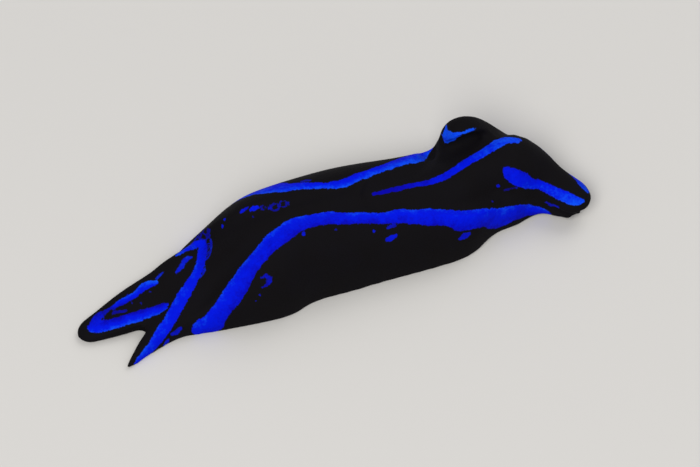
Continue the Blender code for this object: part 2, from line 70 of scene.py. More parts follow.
# Folds pressed into the skin: control points (x, y, z, width)
SHIELD_FOLD = (
    (6.7, 3.3, 5.6, 0.1), (5.8, 2.8, 5.7, 0.7), (4.8, 2.1, 5.9, 0.8), (4.05, 1.4, 6.1, 0.9),
    (3.7, 0.65, 6.2, 0.9), (3.9, -0.2, 6.1, 0.9), (4.5, -1.0, 5.9, 0.9), (5.1, -1.6, 5.7, 0.7),
    (5.6, -2.1, 5.6, 0.1))
LIP_FOLD = (
    (22.7, -0.6, 2.25, 0.1), (23.0, -1.5, 2.2, 0.5), (23.5, -2.65, 2.0, 0.75), (24.0, -3.6, 1.7, 0.8),
    (24.3, -4.5, 1.5, 0.8), (24.2, -5.4, 1.35, 0.8), (23.7, -6.3, 1.3, 0.8), (23.0, -6.9, 1.3, 0.8),
    (22.2, -7.1, 1.3, 0.8), (21.3, -6.9, 1.35, 0.8), (20.6, -6.5, 1.5, 0.8), (20.0, -5.8, 1.7, 0.75),
    (19.4, -5.1, 2.0, 0.5), (18.8, -4.6, 2.2, 0.1))
MOUTH_SLIT = (
    (23.1, -6.6, 1.1, 0.15), (23.0, -6.4, 0.85, 0.42), (23.0, -6.4, 0.55, 0.42), (22.9, -6.3, 0.2, 0.15))
LEFT_LIP = ((23.5, -6.2, 1.0, 0.2), (23.4, -6.1, 0.7, 0.6), (23.3, -6.0, 0.3, 0.2))
RIGHT_LIP = ((22.7, -6.7, 1.0, 0.2), (22.6, -6.6, 0.7, 0.6), (22.5, -6.5, 0.3, 0.2))
LEFT_PAD = ((23.9, -5.5, 0.9, 0.5), (24.0, -5.1, 0.85, 0.9), (23.9, -4.7, 0.85, 0.5))
RIGHT_PAD = ((21.9, -6.6, 0.9, 0.5), (21.5, -6.5, 0.85, 0.9), (21.1, -6.2, 0.85, 0.5))
FOLD_SMOOTHING = 2
FOLDS = (  # points, and the depth in the middle; below zero it is raised
    (SHIELD_FOLD, 0.16), (LIP_FOLD, 0.25), (MOUTH_SLIT, 0.4), (LEFT_LIP, -0.14), (RIGHT_LIP, -0.14),
    (LEFT_PAD, -0.14), (RIGHT_PAD, -0.14))

# Camera: where the photograph was taken from, and the photograph's frame in its pixels
VIEW_TURN = math.radians(25.0)
VIEW_ELEVATION = math.radians(57.0)
VIEW_TARGET = (2.878, 0.94, 0.0)
VIEW_DISTANCE = 900.0
PHOTO_WIDTH = 700.0
PHOTO_HEIGHT = 467.0
PIXELS_PER_MM = 11.0  # at the animal
VIEW_WIDTH = PHOTO_WIDTH / PIXELS_PER_MM
SENSOR_WIDTH = 36.0
CLIP_START = 0.01  # metres
CLIP_END = 10.0  # metres

# Floor and lights, in metres and watts
FLOOR_SIZE = 0.6
FLOOR_COLOUR = (0.62, 0.6, 0.56, 1.0)
FLOOR_ROUGHNESS = 0.9
KEY_LIGHT = ((-0.22, -0.25, 0.45), 0.35, 2.3)  # place, size, strength
FILL_LIGHT = ((0.35, 0.2, 0.4), 0.4, 1.1)
SKY_COLOUR = (0.9, 0.92, 1.0, 1.0)
SKY_STRENGTH = 0.4

# Velvet black and the blues of the lines; the deep and pale blues also serve as painted shade and painted
# highlight on the lines
WARM_BLACK = (0.0054, 0.0046, 0.0046, 1.0)
COOL_BLACK = (0.0058, 0.0052, 0.0070, 1.0)
DEEP_BLUE = (0.0020, 0.0012, 0.36, 1.0)
FULL_BLUE = (0.0004, 0.0075, 0.66, 1.0)
PALE_BLUE = (0.0040, 0.0850, 0.86, 1.0)

# Nap and sheen of the velvet; each noise as size, detail and roughness
BLACK_NOISE = (2.5, 3.0, 0.5)
VELVET_ROUGHNESS = 0.7
VELVET_GLOSS = 0.025
SHEEN = 0.012
SHEEN_ROUGHNESS = 0.45
SHEEN_TINT = (0.6, 0.56, 0.68, 1.0)
NAP_NOISE = (0.2, 3.0, 0.6)
NAP_DEPTH = 0.04
NAP_STRENGTH = 0.6
WRINKLE_NOISE = (1.4, 2.0, 0.5)
WRINKLE_DEPTH = 0.12
WRINKLE_STRENGTH = 0.5

# How the blue marks are laid on, and how they wander: size of the noise, how far it strays and its detail
OUTSIDE = 3.0  # from a line, past which its distance isn't worked out
LINE_STEP = 0.3
PIXEL_STOP = 3  # how many numbers a control point in pixels has
BACK_FACE = -0.1
RAY_REACH = 40.0  # before and behind the animal, searched along a ray that just misses the skin
RAY_STEP = 0.2
SIDE_ALLOWANCE = 0.05  # added to half a line's width before a place's share of it is taken
SPOT_LIGHT = 0.35
RING_LIGHT = 0.2
RING_STRENGTH = 0.55
EDGE_WANDER = (0.5, 0.07, 2.0)
FINE_EDGE_WANDER = (0.14, 0.035, 0.0)
EDGE_SOFTNESS = 0.045
LIGHT_WANDER = (0.8, 0.16, 3.0)
FINE_LIGHT_WANDER = (0.2, 0.06, 1.0)
LACE_WANDER = (0.4, 0.12, 2.0)
LACE_EDGE = (-0.03, 0.08)
LACE_CELL = 0.5
LACE_THREAD = (0.06, 0.18)  # from a cell's edge, where a thread begins to fade and where it ends
LACE_STRENGTH = 0.5

# Blue lines: where a line's middle shows in the photograph and how wide it is there (x, y, width in
# pixels), and on the hidden side points given one by one (x, y, z, width in millimetres)
RIGHT_WALL_LINE = (
    (549, 213.5, 1.5), (542, 211, 5.5), (531, 210.3, 9.5), (520, 212, 11.5), (510, 214.5, 14),
    (503, 217, 17), (496, 218, 18), (486, 217.3, 17.5), (474, 218.2, 20), (460, 219.7, 21.5),
    (450, 218, 18), (440, 217, 16.5), (428, 216.8, 17.5), (414, 217, 14), (400, 216, 14.5),
    (390, 217.5, 12), (375, 218, 10.5), (360, 218, 11), (345, 218.5, 11.5), (330, 218.2, 12.5),
    (315, 220.3, 12), (302, 223, 14), (293, 227, 16), (284, 234, 17.5), (273.5, 241.5, 17),
    (265, 250, 16), (257, 259, 16), (249, 268.7, 17), (243, 278.7, 18.5), (236.8, 288.5, 20.5),
    (230.3, 298.5, 19.5), (222.7, 308.3, 18.5), (216, 317.5, 19.5), (210.5, 325, 22), (203, 332.5, 25))
LEFT_WALL_LINE = (
    (432, 148.8, 2), (424, 152.8, 6.5), (416, 156.8, 8.2), (406, 160.3, 7.3), (395, 164, 6.8),
    (383, 168.2, 6.8), (370, 173, 7), (358, 176.8, 8), (348, 181.5, 8), (338, 184.5, 8),
    (325, 185.7, 5.8), (312, 185.7, 6), (303, 185.6, 6.5), (296, 186.3, 6.8), (285, 187.8, 8),
    (270, 188.8, 8), (258, 190.2, 6.5), (248, 193.8, 4.5), (-6, 6.25, 3.9, 1.4), (-7.1, 6.3, 3, 1.5),
    (-8.3, 6, 2.2, 1.7), (-9.5, 5.7, 1.4, 1.8), (-10.6, 5.4, 0.7, 1.9), (-11.3, 5.2, 0.2, 1.8))
RAISED_LOBE_OUTER_LINE = (
    (14, 5, 3.4, 0.5), (14.4, 5, 4.3, 0.8), (15, 4.8, 5, 1.1), (15.9, 4.5, 5.2, 1.3),
    (17.2, 4, 4.6, 1.4), (18.5, 3.4, 3.2, 1.2), (19.8, 2.7, 1.9, 1), (20.9, 1.8, 0.9, 0.5))
MEDIAN_LINE = (
    (373, 194, 3), (380, 193, 3.5), (390, 190.3, 4.5), (400, 188.2, 4.5), (410, 185.8, 4.5),
    (420, 184, 4.5), (430, 182.2, 5.5), (437, 180, 6), (445, 176.2, 6.5), (455, 170, 6.8),
    (465, 163.7, 7.1), (475, 157.5, 7.1), (485, 151.8, 7.7), (493, 147, 8.3), (500, 142.5, 7.9),
    (507, 140.3, 6.4), (515, 140.2, 5), (519.5, 139.8, 2.4))
HEAD_RIGHT_LINE = (
    (507.5, 170.7, 9), (511.5, 174.5, 14), (517, 177.5, 16), (524, 180.5, 15), (532, 183.8, 10.5),
    (540, 184.8, 8.5), (548, 188.8, 9.5), (556, 192.5, 10), (565, 196.7, 11.5), (573, 200, 10.5),
    (579, 201.2, 7.5), (583, 201, 3.5))
HEAD_LEFT_LINE = (
    (21.4, 0, 3.5, 0.4), (21.9, -0.5, 3.1, 0.55), (22.1, -0.9, 3, 0.5), (22.5, -1.5, 2.6, 0.6),
    (22.9, -2.2, 2.3, 0.7), (23.1, -3, 2.3, 0.75), (23.3, -3.7, 2.5, 0.85), (23.4, -4.3, 2.6, 0.9),
    (23.5, -4.9, 2.7, 0.85), (23.7, -5.4, 2.4, 0.55))
RAISED_LOBE_LINE = (
    (446, 127, 3.9), (446, 131, 6.6), (446.5, 134.8, 10.5), (451.5, 135.3, 7.7), (457, 134.3, 3.9),
    (461.5, 133.3, 2.4), (468.5, 131, 3.3), (475.5, 128.6, 2))
RAISED_LOBE_LOWER_PATCH = (
    (444, 139, 3), (448, 139.8, 4), (453, 139.3, 4.5), (457.5, 137.2, 1.4))
REAR_EDGE_FAR_LINE = (
    (177, 255, 3.9), (183, 251.2, 6), (190, 246.3, 8.8), (196, 244, 8.8), (203, 244, 8.3))
REAR_EDGE_LINE = (
    (203, 244, 7), (202.8, 250, 8), (201.7, 258, 8), (200, 265, 8.5), (197.5, 272, 8.5), (193.5, 279, 9),
    (189.3, 286.3, 10.5), (184.5, 294, 12), (179.6, 302.7, 12.5), (174.6, 311.5, 12),
    (169.8, 320.3, 11.5), (164.3, 328.4, 12.3), (158.2, 337.3, 11.5), (151.8, 346.3, 9.5),
    (145.6, 353.7, 9), (139.7, 360.7, 8), (136.3, 363.7, 4))
LEFT_LOBE_NEAR_LINE = (
    (167, 304.5, 3), (164, 306.7, 6.5), (158, 309.5, 9), (150, 312.3, 9.7), (140, 315.7, 10.3),
    (130, 318.8, 10.3), (120, 321.8, 10.5), (110, 324.5, 11), (100, 327, 11), (93, 327.5, 9.5),
    (89.8, 327, 6))
LEFT_LOBE_FAR_LINE = (
    (156, 282.8, 4), (150, 284, 6.5), (145, 286, 8), (139, 291.3, 6), (133, 296, 5.5), (126, 299.5, 6),
    (118, 304, 5.5), (113, 307.3, 3.5))
LEFT_LOBE_TIP_PATCH = (
    (100, 314.5, 6), (97.5, 319.5, 11), (95.5, 324.5, 12), (93, 327, 9))
LEFT_LOBE_FAR_END = (
    (113, 307.5, 4), (108, 311, 4.5), (103, 313.5, 4.5), (98, 315.5, 5))
LEFT_LOBE_DASH = (
    (157, 278, 2), (160, 275, 3), (163, 272.5, 1.5))
LEFT_LOBE_LONG_DASH = (
    (176.8, 272, 2.5), (180.8, 267, 4.5), (184, 262, 5), (187.5, 258.3, 4.5), (192, 257, 2))
LEFT_LOBE_DIM_DASH = (
    (126, 310.8, 2), (119, 311.7, 3), (112, 312.5, 4))
SHIELD_OUTLINE = (
    (210.3, 239.5, 1), (211.5, 244, 1.7), (210.8, 250, 1.5), (209.5, 255, 1.5), (207, 258.5, 1))
SHIELD_LOWER_OUTLINE = (
    (204.8, 266, 1), (205, 270, 2), (203, 274, 2), (199.5, 278, 1.2))
LIP_LINE = (
    (547, 203, 3.9), (551, 204.7, 6.6), (555, 206.4, 6.6), (557.5, 207.4, 3.9))
RIGHT_LOBE_DASH = (
    (168, 339.8, 2), (166.2, 342.7, 3), (164.3, 345.2, 1.5))
LEFT_WALL_DASH = (
    (240.8, 212.5, 2), (243, 210.5, 3.2), (247.5, 207.8, 2))
LEFT_WALL_PATCH = (
    (251, 209.5, 4), (254, 208.4, 5), (257, 207.4, 3))
HEAD_DASH = (
    (504, 190, 1.3), (509, 188.8, 1.8), (514, 188, 1.3))
RIGHT_WALL_HOOK = (
    (261.5, 277.5, 2.4), (265.5, 275.5, 3.4), (270, 278, 4.2), (269.5, 282.5, 4.4), (265.5, 285.5, 3),
    (262.5, 287.5, 1.8))
RIGHT_WALL_MARK = (
    (386.5, 240, 3.2), (390.5, 238.5, 5.4), (396, 235.3, 2.6))
RIGHT_WALL_UPPER_MARK = (
    (386.5, 228.8, 1.6), (391, 226.6, 3.6), (396, 225.3, 1.8))
RIGHT_LOBE_MARK = (
    (172.8, 333.8, 3), (176.3, 332.2, 5), (180.8, 328.3, 3))
FLANK_MARK = (
    (459.5, 238.8, 2.4), (464, 236.5, 5.4), (469.5, 233.8, 2.8))
LEFT_WALL_THIN_DASH = (
    (302, 181.5, 1.2), (306, 180.6, 1.8), (310, 180.6, 1.2))
REAR_EDGE_LACE = (
    (197, 239, 5), (203, 237, 8), (206, 233.5, 8), (208.5, 230.5, 4))
REAR_EDGE_NEAR_LACE = (
    (208, 240, 7), (209, 247, 5), (207, 254, 4))
BLUE_LINES = (  # points, lightness at start and end (the blue's tone with painted light and shade), painted highlight gained to the left of them, strength
    (RIGHT_WALL_LINE, 0.42, 0.42, -0.25, 1),
    (LEFT_WALL_LINE, 0.62, 0.5, 0.25, 1),
    (RAISED_LOBE_OUTER_LINE, 0.5, 0.45, 0, 1),
    (MEDIAN_LINE, -0.1, 0.85, 0, 1),
    (HEAD_RIGHT_LINE, 0.35, 0.75, -0.12, 1),
    # the head's left line is dimmed partly for its blur and partly as painted shade
    (HEAD_LEFT_LINE, 0.1, 0.8, 0, 0.85),
    (RAISED_LOBE_LINE, 0.85, 0.9, 0, 1),
    (RAISED_LOBE_LOWER_PATCH, 0.8, 0.8, 0, 1),
    (REAR_EDGE_FAR_LINE, 0.75, 0.4, 0, 1),
    (REAR_EDGE_LINE, 0.42, 0.6, -0.15, 1),
    (LEFT_LOBE_NEAR_LINE, 0.45, 0.4, 0.4, 1),
    (LEFT_LOBE_FAR_LINE, 0.68, 0.4, -0.3, 1),
    (LEFT_LOBE_TIP_PATCH, 0.3, 0.4, 0, 0.9),
    (LEFT_LOBE_FAR_END, 0.35, 0.25, 0, 0.7),
    (LEFT_LOBE_DASH, 0.6, 0.6, 0, 0.7),
    (LEFT_LOBE_LONG_DASH, 0.6, 0.5, 0, 0.75),
    (LEFT_LOBE_DIM_DASH, 0.1, 0.1, 0, 0.6),
    (SHIELD_OUTLINE, 0.55, 0.55, 0, 0.6),
    (SHIELD_LOWER_OUTLINE, 0.6, 0.6, 0, 0.6),
    (LIP_LINE, 0.3, 0.4, 0, 0.7),
    (RIGHT_LOBE_DASH, 0.5, 0.5, 0, 0.8),
    (LEFT_WALL_DASH, 0.45, 0.3, 0, 0.9),
    (LEFT_WALL_PATCH, 0.5, 0.35, 0, 1),
    (HEAD_DASH, 0.1, 0.1, 0, 0.5),
    (RIGHT_WALL_HOOK, 0.3, 0.2, 0, 0.75),
    (RIGHT_WALL_MARK, 0.4, 0.4, 0, 0.85),
    (RIGHT_WALL_UPPER_MARK, 0.4, 0.3, 0, 0.6),
    (RIGHT_LOBE_MARK, 0.3, 0.3, 0, 0.7),
    (FLANK_MARK, 0.35, 0.35, 0, 0.8),
    (LEFT_WALL_THIN_DASH, 0.3, 0.3, 0, 0.5),
)
BLUE_LACE = (REAR_EDGE_LACE, REAR_EDGE_NEAR_LACE)
HEAD_ON_LINES = (RAISED_LOBE_LINE, REAR_EDGE_FAR_LINE, LIP_LINE)  # width in pixels as if seen head-on
BLUE_SPOTS = (  # x, y and diameter in the photograph's pixels, strength
    (224.5, 220, 2.4, 0.85), (222.5, 226.5, 3.4, 0.85), (303.5, 233.8, 4, 0.85), (374, 231.5, 2.6, 0.85),
    (260, 295, 2.4, 0.85), (255.5, 301, 2.4, 0.85), (498, 186, 4, 0.85), (492, 201.5, 2.6, 0.85),
    (269, 208.5, 3, 0.85), (252.8, 217, 2.6, 0.4), (287.5, 203.3, 5, 0.4), (336, 230, 2.4, 0.4),
    (150, 292, 2.4, 0.4), (141, 303, 2.4, 0.4), (132, 303, 2.4, 0.4), (127, 295, 2.4, 0.4),
    (516.5, 188, 2.4, 0.4), (267.5, 280.5, 2.5, 0.4), (197, 262, 2.4, 0.4))
BLUE_RINGS = (  # x, y, outer diameter and width in the photograph's pixels
    (263.3, 207.6, 5.6, 1.6), (275, 207.3, 10.5, 2.2), (283.3, 204, 9, 1.8), (208, 235.5, 6, 1.6),
    (199.5, 235.5, 6, 1.4))
BLACK_SPOTS = (  # x, y, z, radius: breaks in the blue near the left tail lobe's tip
    (-20.9, 1.5, 1.16, 0.3), (-20.55, 1.75, 1.2, 0.2), (-21.6, 1.35, 1.1, 0.12))


def mesh_object(name, mesh):
    """New object at the origin, linked to the scene."""
    obj = bpy.data.objects.new(name, mesh)
    bpy.context.scene.collection.objects.link(obj)
    return obj


def surface_tree(mesh):
    """Search tree over the mesh's faces."""
    return BVHTree.FromPolygons([v.co for v in mesh.vertices], [p.vertices for p in mesh.polygons])


def joined_solids():
    """One mesh holding a merged copy of every solid."""
    bm = bmesh.new()
    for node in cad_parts.values():
        bm.from_mesh(node.data)
    bmesh.ops.remove_doubles(bm, verts=bm.verts, dist=MERGE_DISTANCE)
    mesh = bpy.data.meshes.new("skin")
    bm.to_mesh(mesh)
    bm.free()
    return mesh


def apply_modifiers(obj):
    """Replace the object's mesh by what its modifiers make of it."""
    graph = bpy.context.evaluated_depsgraph_get()
    mesh = bpy.data.meshes.new_from_object(obj.evaluated_get(graph))
    obj.modifiers.clear()
    old = obj.data
    obj.data = mesh
    bpy.data.meshes.remove(old)


def remesh(obj, voxel):
    """Even closed skin of small quads round everything in the mesh."""
    modifier = obj.modifiers.new("remesh", "REMESH")
    modifier.mode = "VOXEL"
    modifier.voxel_size = voxel * MM
    apply_modifiers(obj)


def relax(obj, rounds):
    """Smooth away the steps of the remesh."""
    modifier = obj.modifiers.new("relax", "SMOOTH")
    modifier.factor = SMOOTHING_SHARE
    modifier.iterations = rounds
    apply_modifiers(obj)


def positions(mesh):
    """Vertex positions in millimetres."""
    flat = np.empty(len(mesh.vertices) * 3)
    mesh.vertices.foreach_get("co", flat)
    return flat.reshape(-1, 3) / MM


def set_positions(mesh, points):
    """Move the vertices to these positions in millimetres."""
    mesh.vertices.foreach_set("co", (points * MM).ravel())
    mesh.update()


def normals(mesh):
    """Vertex normals."""
    flat = np.empty(len(mesh.vertices) * 3)
    mesh.vertex_normals.foreach_get("vector", flat)
    return flat.reshape(-1, 3)


def swell(mesh, distance):
    """Push every vertex out along its normal."""
    set_positions(mesh, positions(mesh) + distance * normals(mesh))


def keep_largest(mesh):
    """Drop everything but the largest closed surface."""
    bm = bmesh.new()
    bm.from_mesh(mesh)
    waiting = set(bm.verts)
    groups = []
    while waiting:
        front = [waiting.pop()]
        group = []
        while front:
            vert = front.pop()
            group.append(vert)
            for edge in vert.link_edges:
                other = edge.other_vert(vert)
                if other in waiting:
                    waiting.discard(other)
                    front.append(other)
        groups.append(group)
    groups.sort(key=len)
    for group in groups[:-1]:
        bmesh.ops.delete(bm, geom=group, context="VERTS")
    bm.to_mesh(mesh)
    bm.free()


def seam_share(mesh):
    """1 on each vertex by a seam between two solids, falling to 0 away from it."""
    trees = [surface_tree(node.data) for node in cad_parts.values()]
    second = np.empty(len(mesh.vertices))
    for vert in mesh.vertices:
        found = (tree.find_nearest(vert.co, SEAM_FAR * MM)[3] for tree in trees)
        away = sorted(d for d in found if d is not None)
        second[vert.index] = away[1] / MM if len(away) > 1 else SEAM_FAR
    return np.clip((SEAM_FAR - second) / (SEAM_FAR - SEAM_NEAR), 0.0, 1.0)


def soften(mesh, share, rounds, only_fill=False):
    """Even out the surface where the share is above zero; when only filling, no ridge is lowered."""
    flat = np.empty(len(mesh.edges) * 2, dtype=np.int64)
    mesh.edges.foreach_get("vertices", flat)
    ends = flat.reshape(-1, 2)
    points = positions(mesh)
    count = np.bincount(flat, minlength=len(points))
    for turn in range(rounds):
        middle = np.empty_like(points)
        for axis in range(3):
            total = np.bincount(ends[:, 0], points[ends[:, 1], axis], len(points))
            total += np.bincount(ends[:, 1], points[ends[:, 0], axis], len(points))
            middle[:, axis] = total / count
        step = SMOOTHING_SHARE * share[:, None] * (middle - points)
        if only_fill:
            if turn % NORMALS_EVERY == 0:
                set_positions(mesh, points)
                facing = normals(mesh)
            inward = np.minimum(np.sum(step * facing, axis=1), 0.0)
            step -= inward[:, None] * facing
        points += step
    set_positions(mesh, points)


def place_share(points, place, reach):
    """1 at the place, falling smoothly to 0 at the end of its reach."""
    away = np.linalg.norm(points - np.array(place), axis=1) / reach
    return np.clip(1.0 - away ** 2, 0.0, 1.0) ** 2


def make_skin():
    """One skin over all the solids, with the seams between them closed."""
    obj = mesh_object("skin", joined_solids())
    remesh(obj, SKIN_VOXEL)
    relax(obj, STEP_SMOOTHING)
    swell(obj.data, SEAM_CLOSE)
    remesh(obj, SKIN_VOXEL)
    relax(obj, SKIN_SMOOTHING)
    swell(obj.data, -SEAM_CLOSE)
    relax(obj, STEP_SMOOTHING)
    keep_largest(obj.data)
    soften(obj.data, seam_share(obj.data), SEAM_SMOOTHING)
    points = positions(obj.data)
    shares = [place_share(points, place, reach) for *place, reach in HOLLOWS]
    share = np.minimum(HOLLOW_STRENGTH * np.max(shares, axis=0), 1.0)
    soften(obj.data, share, HOLLOW_FILLING, only_fill=True)
    points = positions(obj.data)
    for place, reach, shift in SHIFTS:
        points += place_share(points, place, reach)[:, None] * np.array(shift)
    set_positions(obj.data, points)
    press_folds(obj.data)
    points = positions(obj.data)
    points[:, 2] = np.maximum(points[:, 2], 0.0)
    set_positions(obj.data, points)
    obj.data.shade_smooth()
    return obj


def snapped(tree, point):
    """Nearest place on the skin in millimetres, and the skin's direction there."""
    place, normal, _, _ = tree.find_nearest(Vector(point) * MM)
    return np.array(place) / MM, np.array(normal)


def view_axes():
    """Directions to the picture's right, to its top and back to the camera."""
    back = Vector((-math.sin(VIEW_TURN) * math.cos(VIEW_ELEVATION),
                   -math.cos(VIEW_TURN) * math.cos(VIEW_ELEVATION), math.sin(VIEW_ELEVATION)))
    right = Vector((0.0, 0.0, 1.0)).cross(back).normalized()
    return right, back.cross(right), back


def seen_at(tree, x, y):
    """Place on the skin, in millimetres, that shows at this pixel of the photograph, or nearest to it."""
    right, up, back = view_axes()
    eye = Vector(VIEW_TARGET) + back * VIEW_DISTANCE
    across = (x - PHOTO_WIDTH / 2) / PIXELS_PER_MM
    rise = (PHOTO_HEIGHT / 2 - y) / PIXELS_PER_MM
    ray = (right * across + up * rise - back * VIEW_DISTANCE).normalized()
    place = tree.ray_cast(eye * MM, ray)[0]
    if place is None:
        steps = np.arange(-RAY_REACH, RAY_REACH, RAY_STEP)
        found = [tree.find_nearest((eye + ray * (VIEW_DISTANCE + step)) * MM) for step in steps]
        place = min(found, key=lambda hit: hit[3])[0]
    return np.array(place) / MM


def cast_stops(tree, stops, head_on):
    """Control points in millimetres under a line's middle and edges in the photograph."""
    rows = []
    for k, (x, y, width) in enumerate(stops):
        before, after = np.array(stops[max(k - 1, 0)]), np.array(stops[min(k + 1, len(stops) - 1)])
        run = (after - before)[:2]
        side = np.array((-run[1], run[0])) / np.linalg.norm(run) * width / 2
        if head_on:
            rows.append((*seen_at(tree, x, y), width / PIXELS_PER_MM))
        else:
            edges = seen_at(tree, x + side[0], y + side[1]), seen_at(tree, x - side[0], y - side[1])
            middle, _ = snapped(tree, (edges[0] + edges[1]) / 2)
            rows.append((*middle, np.linalg.norm(edges[0] - edges[1])))
    return rows


def on_skin(tree, stops):
    """A line's control points in millimetres: those in pixels are cast, those given in millimetres stay.
    """
    pixels = [stop for stop in stops if len(stop) == PIXEL_STOP]
    placed = [stop for stop in stops if len(stop) != PIXEL_STOP]
    return cast_stops(tree, pixels, stops in HEAD_ON_LINES) + placed


def curve_through(points, step):
    """Smooth curve through control points that each hold a place and a width."""
    points = np.array(points, float)
    padded = np.vstack((2 * points[0] - points[1], points, 2 * points[-1] - points[-2]))
    rows = []
    for before, start, end, after in zip(padded, padded[1:], padded[2:], padded[3:]):
        count = max(int(np.linalg.norm((end - start)[:3]) / step), 1)
        slope = end - before
        bend = 2 * before - 5 * start + 4 * end - after
        twist = 3 * start - before - 3 * end + after
        for t in np.arange(count) / count:
            rows.append(0.5 * (2 * start + slope * t + bend * t ** 2 + twist * t ** 3))
    rows.append(points[-1])
    return np.array(rows)


def near_box(points, places):
    """Indices of the points that a line or spot could reach."""
    low, high = places.min(0) - OUTSIDE, places.max(0) + OUTSIDE
    return np.nonzero(np.all((points > low) & (points < high), axis=1))[0]


def line_depth(tree, points, facing, stops):
    """How deep each point lies inside a line, how far along it and how far to its left side."""
    curve = curve_through(stops, LINE_STEP)
    places, ups = zip(*(snapped(tree, row[:3]) for row in curve))
    places, ups = np.array(places), np.array(ups)
    near = near_box(points, places)
    depth = np.full(len(near), -OUTSIDE)
    along, side = np.zeros(len(near)), np.zeros(len(near))
    last = len(places) - 2
    for k in range(last + 1):
        run = places[k + 1] - places[k]
        length = max(np.linalg.norm(run), SHORTEST_RUN)
        away = points[near] - places[k]
        share = np.clip(away @ run / length ** 2, 0.0, 1.0)
        across = away - share[:, None] * run
        width = curve[k, 3] + (curve[k + 1, 3] - curve[k, 3]) * share
        inside = width / 2 - np.linalg.norm(across, axis=1)
        inside[facing[near] @ ups[k] < BACK_FACE] = -OUTSIDE
        better = inside > depth
        depth[better] = inside[better]
        along[better] = ((k + share) / (last + 1))[better]
        leftward = np.cross(ups[k], run / length)
        side[better] = (across @ leftward / (width / 2 + SIDE_ALLOWANCE))[better]
    return near, depth, along, side


def press_folds(mesh):
    """Press the folds into the skin, and raise the lips and pads beside the mouth."""
    tree = surface_tree(mesh)
    points, facing = positions(mesh), normals(mesh)
    sunk = np.zeros(len(points))
    for stops, depth in FOLDS:
        near, inside, _, _ = line_depth(tree, points, facing, stops)
        share = np.clip(2.0 * inside / max(width for *_, width in stops), 0.0, 1.0)
        sunk[near] += depth * share ** 2 * (3.0 - 2.0 * share)
    set_positions(mesh, points - sunk[:, None] * facing)
    soften(mesh, (sunk != 0.0) * 1.0, FOLD_SMOOTHING)


def spot_depth(tree, points, facing, place, radius, hole=0.0):
    """How deep each point lies inside a round spot, or in the band round its hole."""
    place, up = snapped(tree, place)
    near = near_box(points, np.array([place]))
    away = np.linalg.norm(points[near] - place, axis=1)
    depth = np.minimum(radius - away, away - hole) if hole else radius - away
    depth[facing[near] @ up < BACK_FACE] = -OUTSIDE
    return near, depth


def blue_marks(tree, points, facing):
    """Each blue mark: the points near it, their depth in it, their lightness (the blue's tone with painted
    light and shade) and its strength.
    """
    for stops, start, end, painted_side_highlight, strength in BLUE_LINES:
        near, depth, along, side = line_depth(tree, points, facing, on_skin(tree, stops))
        # the side term lightens one margin of each line as a painted highlight
        yield near, depth, start + (end - start) * along + painted_side_highlight * np.clip(side, -1.0, 1.0), strength
    for x, y, diameter, strength in BLUE_SPOTS:
        radius = diameter / 2 / PIXELS_PER_MM
        near, depth = spot_depth(tree, points, facing, seen_at(tree, x, y), radius)
        yield near, depth, np.full(len(near), SPOT_LIGHT), strength
    for x, y, diameter, width in BLUE_RINGS:
        radius, hole = diameter / 2 / PIXELS_PER_MM, (diameter / 2 - width) / PIXELS_PER_MM
        near, depth = spot_depth(tree, points, facing, seen_at(tree, x, y), radius, hole)
        yield near, depth, np.full(len(near), RING_LIGHT), RING_STRENGTH


def paint_lines(mesh):
    """Store on each vertex its depth in the blue marks and lace, and the marks' lightness (the blue's tone
    with painted light and shade) and strength.
    """
    tree = surface_tree(mesh)
    points, facing = positions(mesh), normals(mesh)
    blue, lace = np.full(len(points), -OUTSIDE), np.full(len(points), -OUTSIDE)
    light, strength = np.full(len(points), SPOT_LIGHT), np.ones(len(points))
    for near, depth, lightness, power in blue_marks(tree, points, facing):
        better = depth > blue[near]
        chosen = near[better]
        blue[chosen] = depth[better]
        light[chosen] = lightness[better]
        strength[chosen] = power
    for stops in BLUE_LACE:
        near, depth, _, _ = line_depth(tree, points, facing, on_skin(tree, stops))
        lace[near] = np.maximum(lace[near], depth)
    for x, y, z, radius in BLACK_SPOTS:
        near, depth = spot_depth(tree, points, facing, (x, y, z), radius)
        blue[near] = np.minimum(blue[near], -depth)
    # the lightness stored here is the blue's own tone with painted light and shade mixed in
    stored = {"blue_depth": blue, "blue_tone_and_painted_light": light, "blue_strength": strength, "blue_lace": lace}
    for name, values in stored.items():
        mesh.attributes.new(name, "FLOAT", "POINT").data.foreach_set("value", values)


